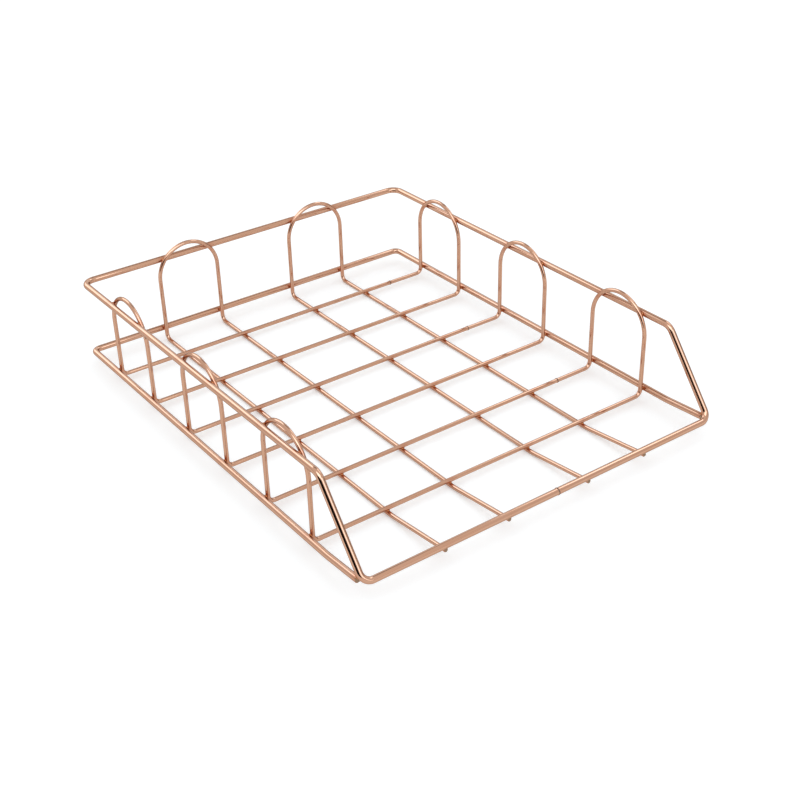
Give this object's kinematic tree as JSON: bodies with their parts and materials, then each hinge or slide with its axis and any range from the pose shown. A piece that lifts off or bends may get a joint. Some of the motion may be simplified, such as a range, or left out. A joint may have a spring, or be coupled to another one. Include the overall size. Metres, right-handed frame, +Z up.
{
  "type": "wire letter tray",
  "caption": "Open-fronted desk tray of bent and welded wire that holds flat sheets of paper; arched wires form its walls and a grid of wires its floor",
  "frame": {"origin": "middle of the footprint, on the table that the tray rests on", "axes": "+X to the tray's right seen from its open front, +Y to its back wall, +Z up"},
  "size_m": [0.254, 0.3177, 0.0679],
  "materials": {
    "copper_plated_wire": "bright drawn steel wire with a polished rose-copper plating",
    "weld_metal": "resistance and bead welds, plated over with the wire, duller and darker"
  },
  "bodies": {
    "root": {"rim_frame": "copper_plated_wire", "base_frame": "copper_plated_wire", "cross_loop_rear": "copper_plated_wire", "cross_loop_middle": "copper_plated_wire", "cross_loop_front": "copper_plated_wire", "long_hairpin_left": "copper_plated_wire", "long_hairpin_right": "copper_plated_wire", "floor_grid_welds": "weld_metal", "front_bar_welds": "weld_metal", "corner_welds": "weld_metal", "base_side_welds": "weld_metal", "base_back_welds": "weld_metal", "rim_side_welds": "weld_metal", "rim_back_welds": "weld_metal", "rim_butt_weld": "weld_metal", "loop_butt_welds": "weld_metal"}
  },
  "joints": []
}
